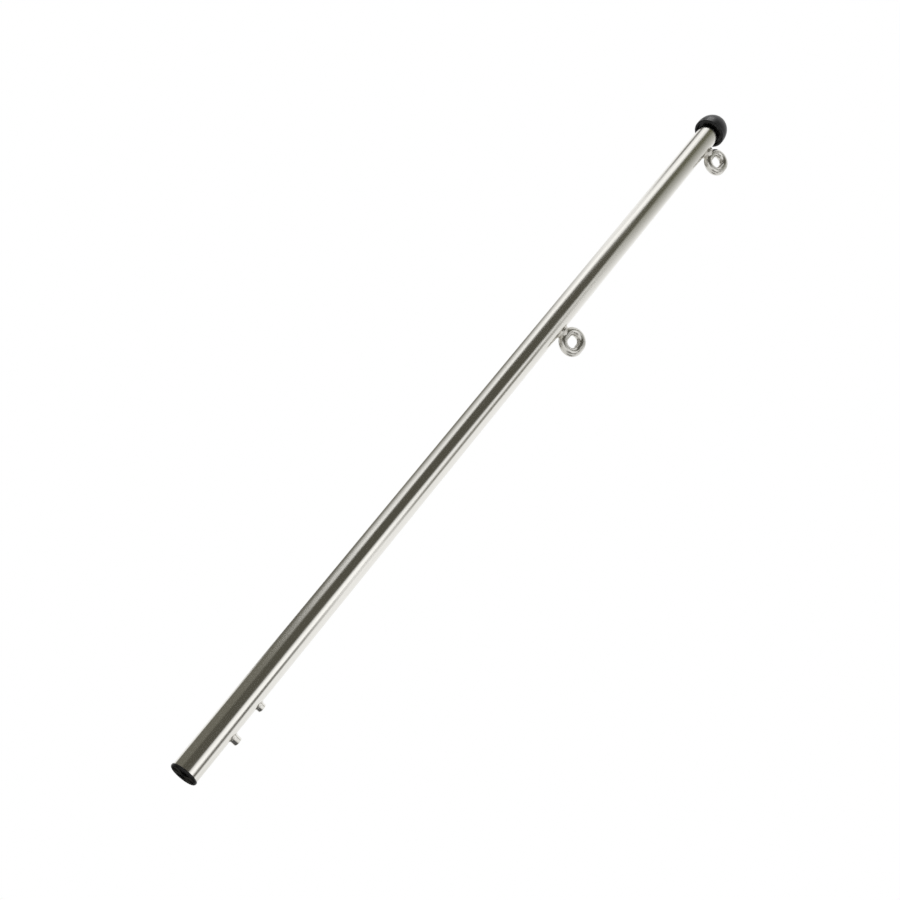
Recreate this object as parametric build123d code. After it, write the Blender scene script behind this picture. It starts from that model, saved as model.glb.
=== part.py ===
from build123d import *
import os
from math import sqrt

# A boat's flagstaff: a polished stainless tube with a moulded knob on top, two eyes for the
# flag's clips, two short studs near the foot and a moulded plug that closes the foot.
# Millimetres. +Z runs up the pole, the origin is at the centre of the flat foot face,
# and the eyes and studs stand on the +X side, so that the eyes' holes run along Y.

# Tube
tube_diameter = 25.0
tube_wall = 1.5
tube_length = 948.4
tube_rim_break = 0.3

# Barbed spigots that hold the two mouldings in the tube's ends
spigot_length = 24.0
spigot_gap = 0.9
spigot_wall = 1.8
spigot_lead = 0.8
barb_count = 3
barb_height = 2.4
barb_clearance = 0.1

# Flange of the foot plug, which stands out a little past the tube
flange_lip = 0.6
flange_thickness = 2.4
flange_edge_round = 1.7

# Knob: an egg-shaped dome on a straight skirt, which hangs a little way down round the tube
knob_dome_height = 21.7
knob_skirt_height = 5.2
knob_overlap = 4.0
knob_hollow_gap = 3.0
knob_mouth_round = 0.4
knob_rim_flat = 0.35
knob_edge_round = 2.0

# Eyes, each a short link of bent rod, welded to the tube along its back
eye_rod_diameter = 9.4
eye_hole_width = 10.2
eye_straight = 5.2
eye_root_gap = 1.0
lower_eye_height = 595.8
upper_eye_drop = 25.4

# Mound of weld between an eye's back and the tube, its middle a little lower than the eye's
eye_weld_diameter = 17.0
eye_weld_reach = 6.5
eye_weld_drop = 1.5

# Studs, each with a small collar of weld at its root
stud_diameter = 8.4
stud_end_break = 0.6
stud_weld_leg = 0.8
lower_stud_height = 51.6
lower_stud_length = 6.4
stud_spacing = 35.3
upper_stud_length = 4.4

# Cuts run past the faces they open by this much
overrun = 1.0

# Worked out from the sizes above
tube_radius = tube_diameter / 2
bore_radius = tube_radius - tube_wall
tube_foot = flange_thickness
tube_top = tube_foot + tube_length
flange_radius = tube_radius + flange_lip
knob_hollow = tube_radius + knob_hollow_gap
knob_radius = knob_hollow + knob_mouth_round + knob_rim_flat + knob_edge_round
knob_rim = tube_top - knob_overlap
knob_shoulder = knob_rim + knob_skirt_height
eye_rod_radius = eye_rod_diameter / 2
eye_bend_radius = eye_hole_width / 2 + eye_rod_radius
eye_centre = tube_radius + eye_root_gap + eye_rod_radius + eye_bend_radius
upper_eye_height = tube_top - upper_eye_drop
upper_stud_height = lower_stud_height + stud_spacing

UPWARD = (Align.CENTER, Align.CENTER, Align.MIN)


def pole_tube():
    """The plain tube, with its four rim edges broken."""
    outside = Cylinder(tube_radius, tube_length, align=UPWARD)
    bore = Cylinder(bore_radius, tube_length, align=UPWARD)
    tube = Pos(0, 0, tube_foot) * (outside - bore)
    return chamfer(tube.edges().filter_by(GeomType.CIRCLE), tube_rim_break)


def spigot():
    """A hollow spigot that stands tip up, with a lead-in and barbs that grip the tube's bore."""
    radius = bore_radius - spigot_gap
    body = Cylinder(radius, spigot_length, align=UPWARD)
    body = chamfer(body.edges().filter_by(GeomType.CIRCLE).sort_by(Axis.Z)[-1], spigot_lead)
    barb = Cone(bore_radius - barb_clearance, radius, barb_height, align=UPWARD)
    pitch = spigot_length / (barb_count + 1)
    for step in range(1, barb_count + 1):
        body += Pos(0, 0, step * pitch - barb_height) * barb
    return body - Cylinder(radius - spigot_wall, spigot_length, align=UPWARD)


def foot_plug():
    """The closed flange under the tube, on its spigot, with a rounded edge at the foot face."""
    flange = Cylinder(flange_radius, flange_thickness, align=UPWARD)
    foot_edge = flange.edges().filter_by(GeomType.CIRCLE).sort_by(Axis.Z)[0]
    return fillet(foot_edge, flange_edge_round) + Pos(0, 0, tube_foot) * spigot()


def knob():
    """The dome on its skirt, whose hollow underside seats on the tube's top end, and its spigot."""
    arc = EllipticalCenterArc((0, 0), knob_radius, knob_dome_height, -90, arc_size=180)
    egg = revolve(Plane.XZ * make_face(arc + Line(arc @ 1, arc @ 0)), Axis.Z)
    dome = egg & Cylinder(knob_radius + overrun, knob_dome_height + overrun, align=UPWARD)
    skirt = Cylinder(knob_radius, knob_skirt_height, align=UPWARD)
    outer_edge = skirt.edges().filter_by(GeomType.CIRCLE).sort_by(Axis.Z)[0]
    skirt = fillet(outer_edge, knob_edge_round) - Cylinder(knob_hollow, knob_overlap, align=UPWARD)
    rim = skirt.faces().filter_by(Axis.Z).sort_by(Axis.Z)[0]
    skirt = fillet(rim.edges().sort_by(SortBy.RADIUS)[0], knob_mouth_round)
    shell = Pos(0, 0, knob_rim) * skirt + Pos(0, 0, knob_shoulder) * dome
    return shell + Pos(0, 0, tube_top) * spigot().rotate(Axis.X, 180)


def eye(height):
    """A closed link of round rod in the plane of the pole, its back leg along the tube."""
    section = Pos(eye_bend_radius, 0, 0) * Circle(eye_rod_radius)
    bend = Pos(0, 0, eye_straight / 2) * revolve(section, Axis.Y, -180)
    leg = Pos(0, 0, -eye_straight / 2) * extrude(section, eye_straight)
    half = bend + leg
    link = half + half.rotate(Axis.Y, 180)
    return Pos(eye_centre, 0, height) * link


def eye_weld(height):
    """The round mound of weld that fills the corners between an eye's back and the tube."""
    arc = EllipticalCenterArc((0, 0), eye_weld_reach, eye_weld_diameter / 2, 0, arc_size=180)
    middle = height - eye_weld_drop
    mound = revolve(make_face(arc + Line(arc @ 1, arc @ 0)), Axis.X)
    mound = Pos(tube_radius + eye_root_gap / 2, 0, middle) * mound
    tube_space = Pos(0, 0, middle) * Cylinder(tube_radius, eye_weld_diameter + overrun)
    return mound - tube_space - eye(height)


def stud(height, length):
    """A short plain stud, its root flared into a collar of weld that saddles the tube."""
    radius = stud_diameter / 2
    collar = radius + stud_weld_leg
    saddle = sqrt(tube_radius**2 - collar**2) - overrun
    tip = tube_radius + length
    flare_from = (tube_radius, collar)
    flare_to = (tube_radius + stud_weld_leg, radius)
    flare = RadiusArc(flare_from, flare_to, stud_weld_leg)
    root = Polyline((saddle, 0), (saddle, collar), flare_from)
    shank = Polyline(flare_to, (tip - stud_end_break, radius), (tip, radius - stud_end_break), (tip, 0))
    profile = make_face(root + flare + shank + Line((tip, 0), (saddle, 0)))
    turned = Pos(0, 0, height) * revolve(profile, Axis.X)
    tube_space = Pos(0, 0, height) * Cylinder(tube_radius, stud_diameter * 2)
    return turned - tube_space


PIECES = {
    "pole_tube": pole_tube(),
    "foot_plug": foot_plug(),
    "knob": knob(),
    "lower_eye": eye(lower_eye_height),
    "upper_eye": eye(upper_eye_height),
    "lower_eye_weld": eye_weld(lower_eye_height),
    "upper_eye_weld": eye_weld(upper_eye_height),
    "lower_stud": stud(lower_stud_height, lower_stud_length),
    "upper_stud": stud(upper_stud_height, upper_stud_length),
}

os.makedirs("parts", exist_ok=True)
for name, piece in PIECES.items():
    export_step(piece, f"parts/{name}.step")
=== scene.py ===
"""Looks of a boat's flagstaff: a polished stainless tube, welded eyes and studs, black mouldings."""
from __future__ import annotations

import logging
import math
from abc import ABC, abstractmethod
from collections.abc import Sequence
from dataclasses import dataclass
from enum import Enum
from typing import Any, NamedTuple

import bmesh
import bpy
from mathutils import Matrix, Vector

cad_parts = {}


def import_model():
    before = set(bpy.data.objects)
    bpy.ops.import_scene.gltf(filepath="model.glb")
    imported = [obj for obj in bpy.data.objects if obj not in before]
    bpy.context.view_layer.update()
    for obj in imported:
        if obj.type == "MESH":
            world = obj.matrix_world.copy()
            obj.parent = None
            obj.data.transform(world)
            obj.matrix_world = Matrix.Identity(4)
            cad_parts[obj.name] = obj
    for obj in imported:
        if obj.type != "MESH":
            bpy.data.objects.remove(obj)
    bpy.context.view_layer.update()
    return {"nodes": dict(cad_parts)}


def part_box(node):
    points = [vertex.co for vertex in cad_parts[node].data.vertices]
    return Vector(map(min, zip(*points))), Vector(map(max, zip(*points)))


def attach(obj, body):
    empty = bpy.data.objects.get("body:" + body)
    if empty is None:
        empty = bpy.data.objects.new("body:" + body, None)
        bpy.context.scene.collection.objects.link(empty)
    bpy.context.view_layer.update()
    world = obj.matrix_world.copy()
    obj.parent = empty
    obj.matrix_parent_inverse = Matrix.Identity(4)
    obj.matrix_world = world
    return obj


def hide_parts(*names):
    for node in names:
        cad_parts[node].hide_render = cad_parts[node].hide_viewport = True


logging.basicConfig(level=logging.INFO, format="%(name)s: %(message)s")
log = logging.getLogger("flagstaff")

MM = 0.001
BODY = "root"
TUBE = "pole_tube"
EYES = ("lower_eye", "upper_eye")
WHITE = "#FFFFFF"
# The photo looks from a little behind the eyes: its azimuth, from -Y towards +X
VIEW_TURN = math.radians(-12)
# Where Blender's Mix node keeps the sockets for a mix of colours
MIX_SHARE, MIX_FIRST, MIX_SECOND, MIX_RESULT = 0, 6, 7, 2


class Slot(str, Enum):
    """The names of two material slots, which no piece in this script takes."""

    STAINLESS = "stainless"
    WELD = "weld"


class Fade(str, Enum):
    """How a soft edge falls off."""

    SMOOTH = "SMOOTHSTEP"
    EVEN = "LINEAR"


class Wear(Enum):
    """Which noise of a grained finish spreads its roughness."""

    PATCHES = "patches"
    GRAIN = "grain"


def linear(hex_colour: str) -> tuple[float, float, float, float]:
    """Turns an sRGB hex colour into linear light.

    Args:
        hex_colour: The colour as #RRGGBB.

    Returns:
        Red, green, blue and an alpha of one.
    """
    parts = [int(hex_colour[i : i + 2], 16) / 255 for i in (1, 3, 5)]
    red, green, blue = (c / 12.92 if c <= 0.04045 else ((c + 0.055) / 1.055) ** 2.4 for c in parts)
    return red, green, blue, 1.0


def add_node(
    tree: bpy.types.NodeTree, kind: str, inputs: dict[Any, Any] | None = None, **settings: Any
) -> bpy.types.Node:
    """Adds one shader node.

    Args:
        tree: The tree that gets the node.
        kind: Blender's name for the kind of node, without ShaderNode.
        inputs: For each input, a value, or another node's output to link.
        settings: The node's own settings.

    Returns:
        The new node.
    """
    node = tree.nodes.new("ShaderNode" + kind)
    for key, value in settings.items():
        setattr(node, key, value)
    for key, value in (inputs or {}).items():
        if isinstance(value, bpy.types.NodeSocket):
            tree.links.new(value, node.inputs[key])
        else:
            node.inputs[key].default_value = value
    return node


def lay_over(
    tree: bpy.types.NodeTree,
    below: bpy.types.Node,
    above: bpy.types.Node,
    shares: Sequence[bpy.types.NodeSocket],
) -> bpy.types.Node:
    """Lays one surface over another.

    Args:
        tree: The tree of both.
        below: The surface that is covered.
        above: The surface that covers it.
        shares: What, multiplied together, says how far it covers.

    Returns:
        The mixed surface.
    """
    cover = shares[0]
    for share in shares[1:]:
        cover = add_node(tree, "Math", {0: cover, 1: share}, operation="MULTIPLY").outputs[0]
    return add_node(tree, "MixShader", {0: cover, 1: below.outputs[0], 2: above.outputs[0]})


def blank_material(name: str) -> tuple[bpy.types.Material, bpy.types.NodeTree]:
    """Makes a material with an empty tree.

    Args:
        name: The material's name.

    Returns:
        The material and its node tree.
    """
    material = bpy.data.materials.new(name)
    material.use_nodes = True
    material.node_tree.nodes.clear()
    return material, material.node_tree


def mesh_piece(name: str, shape: bmesh.types.BMesh, smooth: bool = True) -> bpy.types.Object:
    """Turns a bmesh into an object at the origin.

    Args:
        name: The object's name.
        shape: The shape, in metres, in the row frame. It is freed.
        smooth: Whether its faces are shaded smooth.

    Returns:
        The new object, linked to the scene.
    """
    for face in shape.faces:
        face.smooth = smooth
    mesh = bpy.data.meshes.new(name)
    shape.to_mesh(mesh)
    shape.free()
    piece = bpy.data.objects.new(name, mesh)
    bpy.context.scene.collection.objects.link(piece)
    return piece


def dress(piece: bpy.types.Object, material: bpy.types.Material) -> None:
    """Gives a piece one material all over."""
    piece.data.materials.clear()
    piece.data.materials.append(material)


class Pattern(NamedTuple):
    """What makes a finish uneven: the mix of its shades, its wear and its bumped normal."""

    shade: bpy.types.NodeSocket
    wear: bpy.types.NodeSocket
    normal: bpy.types.NodeSocket


@dataclass(frozen=True, kw_only=True)
class Finish(ABC):
    """A finish of two shades and a range of roughness, which a pattern spreads over the surface.

    The roughness runs through its range while the pattern's wear runs through its span.
    """

    name: str
    shades: tuple[str, str]
    roughness: tuple[float, float]
    wear_span: tuple[float, float] = (0.0, 1.0)

    @abstractmethod
    def pattern(self, tree: bpy.types.NodeTree, place: bpy.types.NodeSocket) -> Pattern:
        """Draws the finish's pattern.

        Args:
            tree: The finish's tree.
            place: The place on the piece, in metres.

        Returns:
            The pattern's outputs.
        """

    def even(self) -> dict[str, float]:
        """Gives the shader's values that are the same all over: bare metal's, unless overridden."""
        return {"Metallic": 1.0}

    def material(self) -> bpy.types.Material:
        """Builds the finish.

        Returns:
            The material.
        """
        material, tree = blank_material(self.name)
        pattern = self.pattern(tree, add_node(tree, "TexCoord").outputs["Object"])
        first, second = (linear(shade) for shade in self.shades)
        mix = {MIX_SHARE: pattern.shade, MIX_FIRST: first, MIX_SECOND: second}
        tint = add_node(tree, "Mix", mix, data_type="RGBA").outputs[MIX_RESULT]
        span = {"Value": pattern.wear, "From Min": self.wear_span[0], "From Max": self.wear_span[1]}
        span |= {"To Min": self.roughness[0], "To Max": self.roughness[1]}
        rough = add_node(tree, "MapRange", span).outputs[0]
        uneven = {"Base Color": tint, "Roughness": rough, "Normal": pattern.normal}
        surface = add_node(tree, "BsdfPrincipled", uneven | self.even())
        add_node(tree, "OutputMaterial", {"Surface": surface.outputs[0]})
        return material


@dataclass(frozen=True, kw_only=True)
class Stainless(Finish):
    """Stainless tube or rod, worked to one finish.

    Polishing leaves very fine lines, which smear reflections a little across them, and long shallow
    waves, which bend them. The lines are finer than a pixel, so they are drawn as coarse as they need
    to show.
    """

    wear_span: tuple[float, float] = (0.3, 0.7)
    line_width: float
    line_length: float
    line_depth: float = 0.004 * MM
    line_detail: float = 2.0
    wave_length: float = 45 * MM
    wave_depth: float = 0.05 * MM
    wave_detail: float = 1.0

    def pattern(self, tree: bpy.types.NodeTree, place: bpy.types.NodeSocket) -> Pattern:
        """Draws the polishing lines over the waves.

        Args:
            tree: The finish's tree.
            place: The place on the piece, in metres.

        Returns:
            The pattern's outputs.
        """
        per_line = (1 / self.line_width, 1 / self.line_width, 1 / self.line_length)
        drawn = add_node(tree, "Mapping", {"Vector": place, "Scale": per_line}).outputs[0]
        line_noise = {"Vector": drawn, "Scale": 1.0, "Detail": self.line_detail}
        lines = add_node(tree, "TexNoise", line_noise).outputs[0]
        wave_noise = {"Vector": place, "Scale": 1 / self.wave_length, "Detail": self.wave_detail}
        waves = add_node(tree, "TexNoise", wave_noise).outputs[0]
        wavy = add_node(tree, "Bump", {"Height": waves, "Distance": self.wave_depth}).outputs[0]
        lined = {"Height": lines, "Distance": self.line_depth, "Normal": wavy}
        bump = add_node(tree, "Bump", lined).outputs[0]
        return Pattern(lines, lines, bump)


@dataclass(frozen=True, kw_only=True)
class Grained(Finish):
    """A finish with patches of shade under a fine grain, which stands up as bump."""

    worn_by: Wear
    patch: float
    patch_detail: float
    grain: float
    grain_detail: float
    grain_depth: float = 0.02 * MM

    def pattern(self, tree: bpy.types.NodeTree, place: bpy.types.NodeSocket) -> Pattern:
        """Draws patches for the shades, grain for the bump, and one of them for the wear.

        Args:
            tree: The finish's tree.
            place: The place on the piece, in metres.

        Returns:
            The pattern's outputs.
        """
        noises = {}
        for wear, size, detail in (
            (Wear.PATCHES, self.patch, self.patch_detail),
            (Wear.GRAIN, self.grain, self.grain_detail),
        ):
            noise = {"Vector": place, "Scale": 1 / size, "Detail": detail}
            noises[wear] = add_node(tree, "TexNoise", noise).outputs[0]
        height = {"Height": noises[Wear.GRAIN], "Distance": self.grain_depth}
        bump = add_node(tree, "Bump", height).outputs[0]
        return Pattern(noises[Wear.PATCHES], noises[self.worn_by], bump)


@dataclass(frozen=True, kw_only=True)
class WeldMetal(Grained):
    """A weld bead in stainless, left as welded and patchy, with a fine grain that dulls its sheen."""

    worn_by: Wear = Wear.GRAIN
    patch: float = 3 * MM
    patch_detail: float = 2.0
    grain: float = 0.5 * MM
    grain_detail: float = 1.0


@dataclass(frozen=True, kw_only=True)
class MouldedBlack(Grained):
    """Black nylon, moulded in a lightly grained tool: a soft sheen that is never a sharp mirror."""

    worn_by: Wear = Wear.PATCHES
    patch: float = 9 * MM
    patch_detail: float = 3.0
    grain: float = 0.7 * MM
    grain_detail: float = 2.0
    ior: float = 1.53
    specular: float = 0.26

    def even(self) -> dict[str, float]:
        """Gives the nylon its gloss."""
        return {"IOR": self.ior, "Specular IOR Level": self.specular}


# Drawn tube, polished along its length: bright bands with slightly streaked edges
POLISHED = Stainless(
    name="polished_stainless",
    shades=("#EDEBE6", "#E2E0DA"),
    roughness=(0.10, 0.19),
    line_width=0.9 * MM,
    line_length=70 * MM,
)
# Bent rod, dulled evenly by bending and tumbling: softer, greyer highlights
SATIN = Stainless(
    name="satin_stainless",
    shades=("#DCDAD5", "#CECCC6"),
    roughness=(0.20, 0.28),
    line_width=0.8 * MM,
    line_length=0.8 * MM,
)
# Weld cleaned with pickling paste: pale and matt beside the polished tube
PICKLED = WeldMetal(name="pickled_weld", shades=("#E4E2DD", "#CFCCC5"), roughness=(0.26, 0.42))
# Nylon from a grained tool: near black, with a broad faint sheen
NYLON = MouldedBlack(name="moulded_black_nylon", shades=("#0C0C0D", "#141415"), roughness=(0.30, 0.42))


@dataclass
class Staff:
    """The staff's own solids, which keep their shapes and get their finishes here."""

    nodes: dict[str, bpy.types.Object]
    polished: bpy.types.Material
    black: bpy.types.Material
    bright: tuple[str, ...] = (TUBE, "lower_stud", "upper_stud")
    moulded: tuple[str, ...] = ("foot_plug", "knob")

    def mouldings(self) -> list[bpy.types.Object]:
        """Gives the black mouldings."""
        return [self.nodes[name] for name in self.moulded]

    def dress(self) -> list[bpy.types.Object]:
        """Puts polished steel on the tube and studs and nylon on the mouldings.

        Returns:
            The dressed pieces.
        """
        steel = [self.nodes[name] for name in self.bright]
        for piece in steel:
            dress(piece, self.polished)
        for piece in self.mouldings():
            dress(piece, self.black)
        return steel + self.mouldings()


@dataclass
class EyeLink:
    """One eye, a closed link of bent rod, whose bends run into its legs without a break in the sheen."""

    node: str
    finish: bpy.types.Material
    sides: int = 64
    leg_steps: int = 8
    bend_steps: int = 48
    merge: float = 0.01 * MM

    def build(self) -> bpy.types.Object:
        """Builds one leg and one bend from a ring of the rod, and turns a copy of both to close the link.

        Returns:
            The link's object.
        """
        low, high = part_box(self.node)
        rod = (high.y - low.y) / 2
        bend = (high.x - low.x) / 2 - rod
        straight = high.z - low.z - 2 * (bend + rod)
        shape = bmesh.new()
        bmesh.ops.create_circle(shape, segments=self.sides, radius=rod)
        bmesh.ops.translate(shape, verts=shape.verts, vec=(bend, 0, -straight / 2))
        ring = shape.edges[:]
        for _ in range(self.leg_steps):
            grown = bmesh.ops.extrude_edge_only(shape, edges=ring)["geom"]
            ring = [item for item in grown if isinstance(item, bmesh.types.BMEdge)]
            corners = [item for item in grown if isinstance(item, bmesh.types.BMVert)]
            bmesh.ops.translate(shape, verts=corners, vec=(0, 0, straight / self.leg_steps))
        bmesh.ops.spin(
            shape,
            geom=ring,
            cent=(0, 0, straight / 2),
            axis=(0, 1, 0),
            angle=-math.pi,
            steps=self.bend_steps,
        )
        half = shape.verts[:] + shape.edges[:] + shape.faces[:]
        other = bmesh.ops.duplicate(shape, geom=half)["geom"]
        turned = [item for item in other if isinstance(item, bmesh.types.BMVert)]
        bmesh.ops.rotate(shape, verts=turned, cent=(0, 0, 0), matrix=Matrix.Rotation(math.pi, 3, "Y"))
        bmesh.ops.remove_doubles(shape, verts=shape.verts, dist=self.merge)
        bmesh.ops.translate(shape, verts=shape.verts, vec=(low + high) / 2)
        bmesh.ops.recalc_face_normals(shape, faces=shape.faces)
        link = mesh_piece(self.node + "_link", shape)
        dress(link, self.finish)
        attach(link, BODY)
        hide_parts(self.node)
        return link


@dataclass
class WeldMound:
    """The mound of weld round one eye's back, faintly rippled, which stands for the plain solid one.

    Its toe flares out onto the tube, and above the toe it is waisted, as a bead run round a joint is.
    Its middle stands off the tube, and its back is sunk in the tube's wall.
    """

    node: str
    finish: bpy.types.Material
    reach: float = 6.5 * MM
    stand_off: float = 0.5 * MM
    sink: float = 0.5 * MM
    waist_share: float = 0.74
    toe_fall: float = 4.0
    tip_share: float = 0.99
    ripples: int = 26
    ripple_height: float = 0.12 * MM
    segments: int = 208
    rings: int = 48

    def width_share(self, rise: float) -> float:
        """Gives the share of the ball's width that is left above the toe.

        Args:
            rise: The height as a share of the reach, from nought at the toe to one at the tip.

        Returns:
            The share, which is one at the toe.
        """
        rise = min(max(rise, 0.0), self.tip_share)
        ball = math.sqrt(1 - rise * rise)
        return self.waist_share + (1 - self.waist_share) * (1 - rise) ** self.toe_fall / ball

    def build(self) -> bpy.types.Object:
        """Builds the mound from a stretched ball with ripples, its back laid just inside the tube's wall.

        Returns:
            The mound's object.
        """
        low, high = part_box(self.node)
        middle = (low.z + high.z) / 2
        half = (high.z - low.z) / 2
        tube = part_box(TUBE)[1].x
        root = tube - self.sink
        shape = bmesh.new()
        bmesh.ops.create_uvsphere(shape, u_segments=self.segments, v_segments=self.rings, radius=1.0)
        bmesh.ops.scale(shape, verts=shape.verts, vec=(half, half, self.reach))
        for vert in shape.verts:
            turn = math.atan2(vert.co.y, vert.co.x)
            swell = abs(math.sin(turn * self.ripples / 2)) - 1
            width = self.width_share(vert.co.z / self.reach) + swell * self.ripple_height / half
            vert.co.x *= width
            vert.co.y *= width
        place = Matrix.Translation((tube + self.stand_off, 0, middle))
        laid_down = place @ Matrix.Rotation(math.pi / 2, 4, "Y")
        bmesh.ops.transform(shape, matrix=laid_down, verts=shape.verts)
        for vert in shape.verts:
            outward = Vector((vert.co.x, vert.co.y, 0))
            if outward.length < root:
                vert.co += outward.normalized() * (root - outward.length)
        bmesh.ops.recalc_face_normals(shape, faces=shape.faces)
        mound = mesh_piece(self.node + "_mound", shape)
        dress(mound, self.finish)
        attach(mound, BODY)
        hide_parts(self.node)
        return mound


@dataclass(frozen=True)
class Card:
    """One studio card, curved round the pole, that shows only in reflections.

    Each row is a height in metres and the azimuths there of the card's left and right edge, in degrees
    from the camera's side towards the eyes' side. Softness is the share of the card over which an edge
    fades.
    """

    name: str
    colour: str
    rows: tuple[tuple[float, float, float], ...]
    strength: float = 1.0
    soft_left: float = 0.1
    soft_right: float = 0.1
    soft_foot: float = 0.02
    soft_head: float = 0.02
    fade: Fade = Fade.SMOOTH


CARDS = (
    Card(
        "dark_card",
        "#56544B",
        (
            (0.2, -60, 28),
            (0.62, -56, 28),
            (0.87, -54, 27),
            (1.27, -64, 26),
            (1.6, -67, 27),
            (1.94, -69, 32),
            (2.2, -70, 36),
            (2.6, -66, 38),
            (2.87, -51, 28),
            (3.15, -37, 18),
            (3.6, -33, 18),
        ),
        soft_left=0.22,
        soft_right=0.2,
        soft_head=0.25,
    ),
    Card("low_card", "#716F65", ((0.1, -135, 5), (1.5, -135, 5)), soft_head=0.42),
    Card(
        "left_low",
        "#5E5C54",
        ((0.8, -160, -78), (1.0, -160, -78), (1.6, -165, -82)),
        soft_left=0.15,
        soft_right=0.6,
        soft_foot=0.3,
        soft_head=0.75,
    ),
    Card(
        "left_card",
        "#7E7C73",
        (
            (0.9, -165, -66),
            (1.27, -165, -64),
            (1.6, -170, -62),
            (1.94, -172, -58),
            (2.2, -170, -68),
            (2.6, -160, -86),
            (3.0, -156, -92),
        ),
        soft_left=0.2,
        soft_right=0.72,
        soft_foot=0.2,
        soft_head=0.35,
    ),
    Card(
        "left_top",
        "#6E6C66",
        ((3.15, -132, -84), (3.9, -126, -78)),
        soft_left=0.4,
        soft_right=0.4,
        soft_foot=0.3,
    ),
    Card(
        "left_glow",
        WHITE,
        ((2.2, -94, -60), (2.6, -94, -62), (2.87, -90, -58), (3.15, -76, -42), (3.9, -74, -40)),
        strength=1.2,
        soft_left=0.3,
        soft_right=0.3,
        soft_foot=0.25,
    ),
    Card(
        "right_glow",
        WHITE,
        ((0.2, 28, 60), (0.62, 28, 59), (1.27, 24, 54), (1.75, 23, 52)),
        strength=1.2,
        soft_left=0.3,
        soft_right=0.3,
        soft_head=0.2,
    ),
    Card(
        "thin_low",
        "#64625B",
        ((0.2, 55, 95), (0.62, 54, 93), (0.87, 47, 83), (1.4, 44, 79)),
        soft_left=0.42,
        soft_right=0.42,
        soft_head=0.38,
    ),
    Card(
        "thin_high",
        "#7C7A72",
        ((1.35, 44, 82), (1.94, 36, 78), (2.2, 34, 78), (2.7, 34, 74)),
        soft_left=0.5,
        soft_right=0.45,
        soft_foot=0.28,
        soft_head=0.3,
    ),
    Card(
        "high_card",
        "#696957",
        ((2.2, -60, 143), (2.6, -64, 143), (2.87, -50, 143), (3.15, -37, 143), (4.3, -33, 143)),
        soft_right=0.77,
        soft_foot=0.43,
        fade=Fade.EVEN,
    ),
    Card("right_limb", "#F2F2F0", ((0.1, 92, 178), (1.0, 92, 178)), soft_left=0.3, soft_head=0.6),
)


@dataclass(frozen=True)
class Lamp:
    """One soft rectangular lamp that faces the pole.

    Its turn is an azimuth in degrees, as for the cards. Its height, at its middle, and its width and
    length are in metres. Its level says how bright its face is, where one is white.
    """

    name: str
    turn: float
    height: float
    size: tuple[float, float]
    level: float


PLAIN_LAMPS = (
    Lamp("left_lamp", turn=-70, height=2.6, size=(1.1, 2.4), level=1.2),
    Lamp("right_lamp", turn=40, height=1.4, size=(1.1, 2.4), level=1.2),
)
SHEEN_LAMP = Lamp("sheen_lamp", turn=-62, height=3.3, size=(1.9, 1.9), level=5.0)


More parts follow.
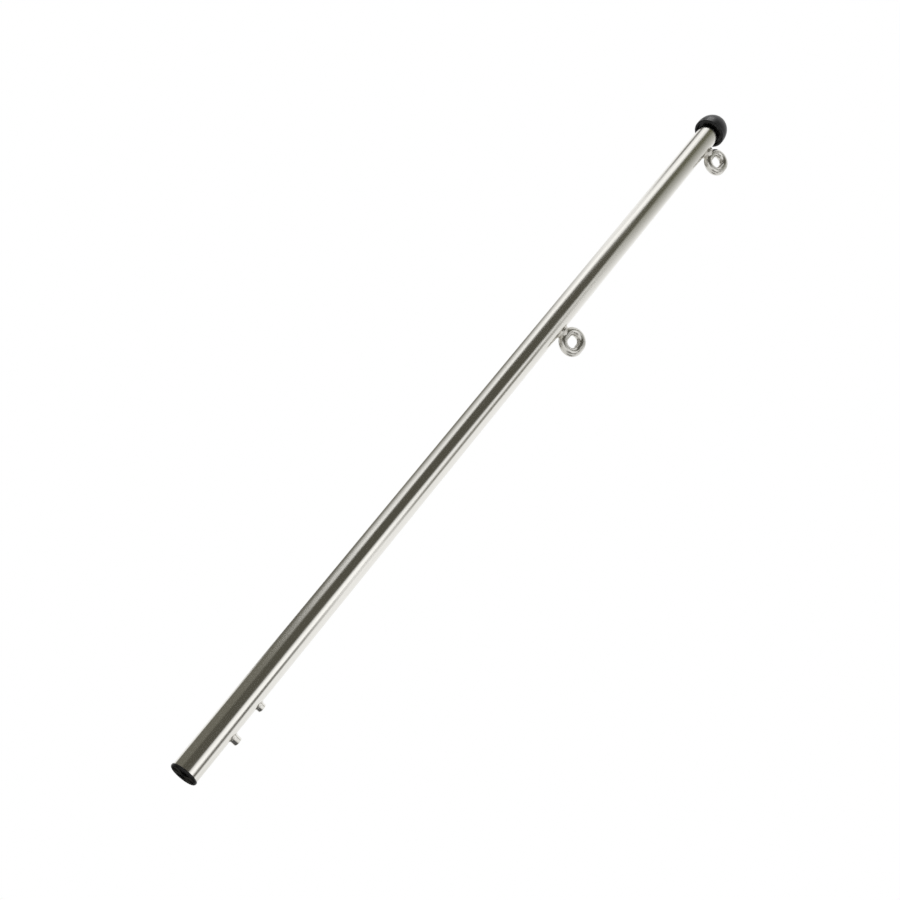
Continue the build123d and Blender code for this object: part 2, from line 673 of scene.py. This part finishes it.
@dataclass
class Studio:
    """White surroundings, a pale floor, soft lamps and the cards that the polished tube reflects.

    Lengths are in metres. A slant is a ray's level distance from the pole as a share of its length.
    Each fade, reach, slant or edge runs from where its layer of the floor starts to where it is full.
    """

    mouldings: list[bpy.types.Object]
    ambient: float = 0.88
    aim_height: float = 0.5
    card_distance: float = 2.5
    card_columns: int = 24
    layer_step: float = 0.01
    floor_drop: float = 0.4 * MM
    floor_radius: float = 9.0
    floor_sides: int = 64
    floor_fade: tuple[float, float] = (0.5, 2.2)
    floor_colour: str = "#F4F4F2"
    contact_reach: tuple[float, float] = (520 * MM, 60 * MM)
    contact_slant: tuple[float, float] = (0.94, 0.78)
    # Grey of the painted shade that short, steep reflections see on the floor by the foot
    contact_shade: str = "#5A5A5A"
    flag_colour: str = "#6A6862"
    flag_counts: tuple[int, ...] = (2, 4)
    flag_edge: tuple[float, float] = (-0.1, 1.1)
    flag_slant: tuple[float, float] = (0.44, 0.71)

    def world(self) -> None:
        """Makes the surroundings white to the eye and to reflections, and softer as light."""
        world = bpy.data.worlds.new("white_surroundings")
        bpy.context.scene.world = world
        world.use_nodes = True
        tree = world.node_tree
        tree.nodes.clear()
        path = add_node(tree, "LightPath").outputs
        seen = path["Is Camera Ray"]
        for ray in ("Is Glossy Ray", "Is Transmission Ray"):
            seen = add_node(tree, "Math", {0: seen, 1: path[ray]}, operation="MAXIMUM").outputs[0]
        levels = {"Value": seen, "To Min": self.ambient, "To Max": 1.0}
        strength = add_node(tree, "MapRange", levels).outputs[0]
        sky = add_node(tree, "Background", {"Color": linear(WHITE), "Strength": strength})
        add_node(tree, "OutputWorld", {"Surface": sky.outputs[0]})

    def floor(self) -> None:
        """Lays the floor just under the foot."""
        shape = bmesh.new()
        bmesh.ops.create_circle(shape, cap_ends=True, segments=self.floor_sides, radius=self.floor_radius)
        bmesh.ops.translate(shape, verts=shape.verts, vec=(0, 0, -self.floor_drop))
        floor = mesh_piece("floor", shape, smooth=False)
        dress(floor, self.paper())

    def paper(self) -> bpy.types.Material:
        """Builds the floor's pale paper, which fades to white far out and is open from below.

        Reflections also show grey flags on it, and a painted shade close to the foot: a grey veil that
        darkens short, steep reflections there.

        Returns:
            The material.
        """
        material, tree = blank_material("pale_floor")
        place = add_node(tree, "TexCoord").outputs["Object"]
        path = add_node(tree, "LightPath").outputs
        mirrored = path["Is Glossy Ray"]
        length = path["Ray Length"]
        away = add_node(tree, "VectorMath", {0: place}, operation="LENGTH").outputs["Value"]
        slant = add_node(tree, "Math", {0: away, 1: length}, operation="DIVIDE").outputs[0]
        eased = []
        for value, (start, full) in (
            (away, self.floor_fade),
            (self.flags(tree, place), self.flag_edge),
            (slant, self.flag_slant),
            (length, self.contact_reach),
            (slant, self.contact_slant),
        ):
            span = {"Value": value, "From Min": start, "From Max": full}
            share = add_node(tree, "MapRange", span, interpolation_type=Fade.SMOOTH.value)
            eased.append(share.outputs[0])
        far, flagged, slanting, near, steep = eased
        behind = add_node(tree, "NewGeometry").outputs["Backfacing"]
        glow = add_node(tree, "Emission", {"Color": linear(WHITE), "Strength": 1.0})
        flag = add_node(tree, "Emission", {"Color": linear(self.flag_colour), "Strength": 1.0})
        # Painted shade: a grey veil over the floor that darkens short, steep reflections close to the
        # foot
        shade = add_node(tree, "BsdfTransparent", {"Color": linear(self.contact_shade)})
        clear = add_node(tree, "BsdfTransparent")
        surface = add_node(tree, "BsdfDiffuse", {"Color": linear(self.floor_colour)})
        surface = lay_over(tree, surface, glow, (far,))
        surface = lay_over(tree, surface, flag, (mirrored, flagged, slanting))
        # Lays the painted shade by the foot over what reflections see of the floor
        surface = lay_over(tree, surface, shade, (mirrored, near, steep))
        surface = lay_over(tree, surface, clear, (behind,))
        add_node(tree, "OutputMaterial", {"Surface": surface.outputs[0]})
        return material

    def flags(self, tree: bpy.types.NodeTree, place: bpy.types.NodeSocket) -> bpy.types.NodeSocket:
        """Sums waves round the floor, whose crests are flags that lie like slices of a cake.

        Args:
            tree: The floor's tree.
            place: Where on the floor the ray falls.

        Returns:
            The sum, which is lowest on the camera's side and opposite it.
        """
        axes = add_node(tree, "SeparateXYZ", {0: place}).outputs
        turn = add_node(tree, "Math", {0: axes["Y"], 1: axes["X"]}, operation="ARCTAN2").outputs[0]
        total: bpy.types.NodeSocket | float = 0.0
        for count in self.flag_counts:
            phase = math.pi - count * (VIEW_TURN - math.pi / 2)
            round_pole = {0: turn, 1: float(count), 2: phase}
            angle = add_node(tree, "Math", round_pole, operation="MULTIPLY_ADD").outputs[0]
            wave = add_node(tree, "Math", {0: angle}, operation="COSINE").outputs[0]
            total = add_node(tree, "Math", {0: total, 1: wave}, operation="ADD").outputs[0]
        return total

    def around(self, turn: float, height: float, layer: int = 0) -> tuple[float, float, float]:
        """Finds a place on the ring of cards.

        Args:
            turn: The azimuth in degrees, from the camera's side towards the eyes' side.
            height: The height in metres.
            layer: How many layers the place lies behind the front one.

        Returns:
            The place, in metres.
        """
        angle = math.radians(turn) + VIEW_TURN
        away = self.card_distance + layer * self.layer_step
        return away * math.sin(angle), -away * math.cos(angle), height

    def card(self, spec: Card, layer: int) -> None:
        """Hangs one card, a unit grid whose rows are bent round the pole at their heights.

        Args:
            spec: The card's place, colour and soft edges.
            layer: The card's layer, counted from the front one.
        """
        shape = bmesh.new()
        sheet = shape.loops.layers.uv.new("card")
        last = len(spec.rows) - 1
        foot, head = spec.rows[0][0], spec.rows[last][0]
        bmesh.ops.create_grid(shape, x_segments=self.card_columns, y_segments=last, size=1 / 2)
        bmesh.ops.translate(shape, verts=shape.verts, vec=(1 / 2, 1 / 2, 0))
        for vert in shape.verts:
            across = vert.co.x
            height, left, right = spec.rows[round(vert.co.y * last)]
            for loop in vert.link_loops:
                loop[sheet].uv = (across, (height - foot) / (head - foot))
            vert.co = self.around(left + (right - left) * across, height, layer)
        card = mesh_piece(spec.name, shape)
        dress(card, self.paint(spec))
        card.visible_camera = False
        card.visible_diffuse = False
        card.visible_transmission = False
        card.visible_shadow = False

    def paint(self, spec: Card) -> bpy.types.Material:
        """Builds a card's even colour, which clears towards its edges.

        Args:
            spec: The card's colour and soft edges.

        Returns:
            The material.
        """
        material, tree = blank_material(spec.name)
        place = add_node(tree, "TexCoord").outputs["UV"]
        axes = add_node(tree, "SeparateXYZ", {0: place}).outputs
        inside = []
        for axis, edge, full in (
            ("X", 0.0, spec.soft_left),
            ("X", 1.0, 1 - spec.soft_right),
            ("Y", 0.0, spec.soft_foot),
            ("Y", 1.0, 1 - spec.soft_head),
        ):
            span = {"Value": axes[axis], "From Min": edge, "From Max": full}
            share = add_node(tree, "MapRange", span, interpolation_type=spec.fade.value)
            inside.append(share.outputs[0])
        colour = add_node(tree, "Emission", {"Color": linear(spec.colour), "Strength": spec.strength})
        surface = lay_over(tree, add_node(tree, "BsdfTransparent"), colour, inside)
        add_node(tree, "OutputMaterial", {"Surface": surface.outputs[0]})
        return material

    def lamp(self, spec: Lamp) -> bpy.types.Object:
        """Hangs one lamp.

        Args:
            spec: The lamp's place, size and level.

        Returns:
            The lamp's object.
        """
        data = bpy.data.lights.new(spec.name, "AREA")
        data.shape = "RECTANGLE"
        data.size, data.size_y = spec.size
        data.energy = spec.level * math.pi * spec.size[0] * spec.size[1]
        lamp = bpy.data.objects.new(spec.name, data)
        bpy.context.scene.collection.objects.link(lamp)
        lamp.location = self.around(spec.turn, spec.height)
        aim = Vector((0, 0, self.aim_height)) - lamp.location
        lamp.rotation_euler = aim.to_track_quat("-Z", "Y").to_euler()
        lamp.visible_camera = False
        return lamp

    def lamps(self) -> None:
        """Hangs two plain lamps, and a third whose sheen falls only on the black mouldings."""
        for spec in PLAIN_LAMPS:
            self.lamp(spec).visible_glossy = False
        lit = bpy.data.collections.new("sheen_lit")
        for moulding in self.mouldings:
            lit.objects.link(moulding)
        self.lamp(SHEEN_LAMP).light_linking.receiver_collection = lit

    def build(self) -> None:
        """Makes the surroundings, the floor, the cards and the lamps."""
        self.world()
        self.floor()
        for layer, spec in enumerate(CARDS):
            self.card(spec, layer)
        self.lamps()


@dataclass(frozen=True)
class PhotoCamera:
    """The photograph's camera: it looks up along the pole from below its foot, and is rolled.

    Its place, before the turn round the pole, and its clip are in metres, its tilt and roll in degrees,
    and its lens and sensor in millimetres.
    """

    place: tuple[float, float, float] = (0.0003, -1.1551, -0.2646)
    tilt: float = 29.89
    roll: float = 39.32
    lens: float = 55.2
    sensor: float = 36.0
    clip: tuple[float, float] = (0.01, 100.0)

    def build(self) -> None:
        """Makes the camera and puts it in the scene."""
        data = bpy.data.cameras.new("photo_camera")
        data.lens = self.lens
        data.sensor_width = self.sensor
        data.clip_start, data.clip_end = self.clip
        camera = bpy.data.objects.new("photo_camera", data)
        bpy.context.scene.collection.objects.link(camera)
        tilt = math.radians(self.tilt)
        round_pole = Matrix.Rotation(VIEW_TURN, 3, "Z")
        ahead = round_pole @ Vector((0, math.cos(tilt), math.sin(tilt)))
        upright = ahead.to_track_quat("-Z", "Y").to_matrix()
        turned = upright @ Matrix.Rotation(math.radians(self.roll), 3, "Z")
        camera.rotation_euler = turned.to_euler()
        camera.location = round_pole @ Vector(self.place)
        bpy.context.scene.camera = camera


def main() -> None:
    """Loads the frame, dresses the staff, reports its pieces and sets up the studio."""
    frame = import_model()
    bpy.context.scene.view_settings.view_transform = "Standard"
    staff = Staff(frame["nodes"], POLISHED.material(), NYLON.material())
    pieces = staff.dress()
    satin = SATIN.material()
    weld = PICKLED.material()
    for eye in EYES:
        pieces.append(EyeLink(eye, satin).build())
        pieces.append(WeldMound(eye + "_weld", weld).build())
    for piece in pieces:
        log.info("%s in %s, %d faces", piece.name, piece.active_material.name, len(piece.data.polygons))
    Studio(staff.mouldings()).build()
    PhotoCamera().build()


if __name__ == "__main__":
    main()
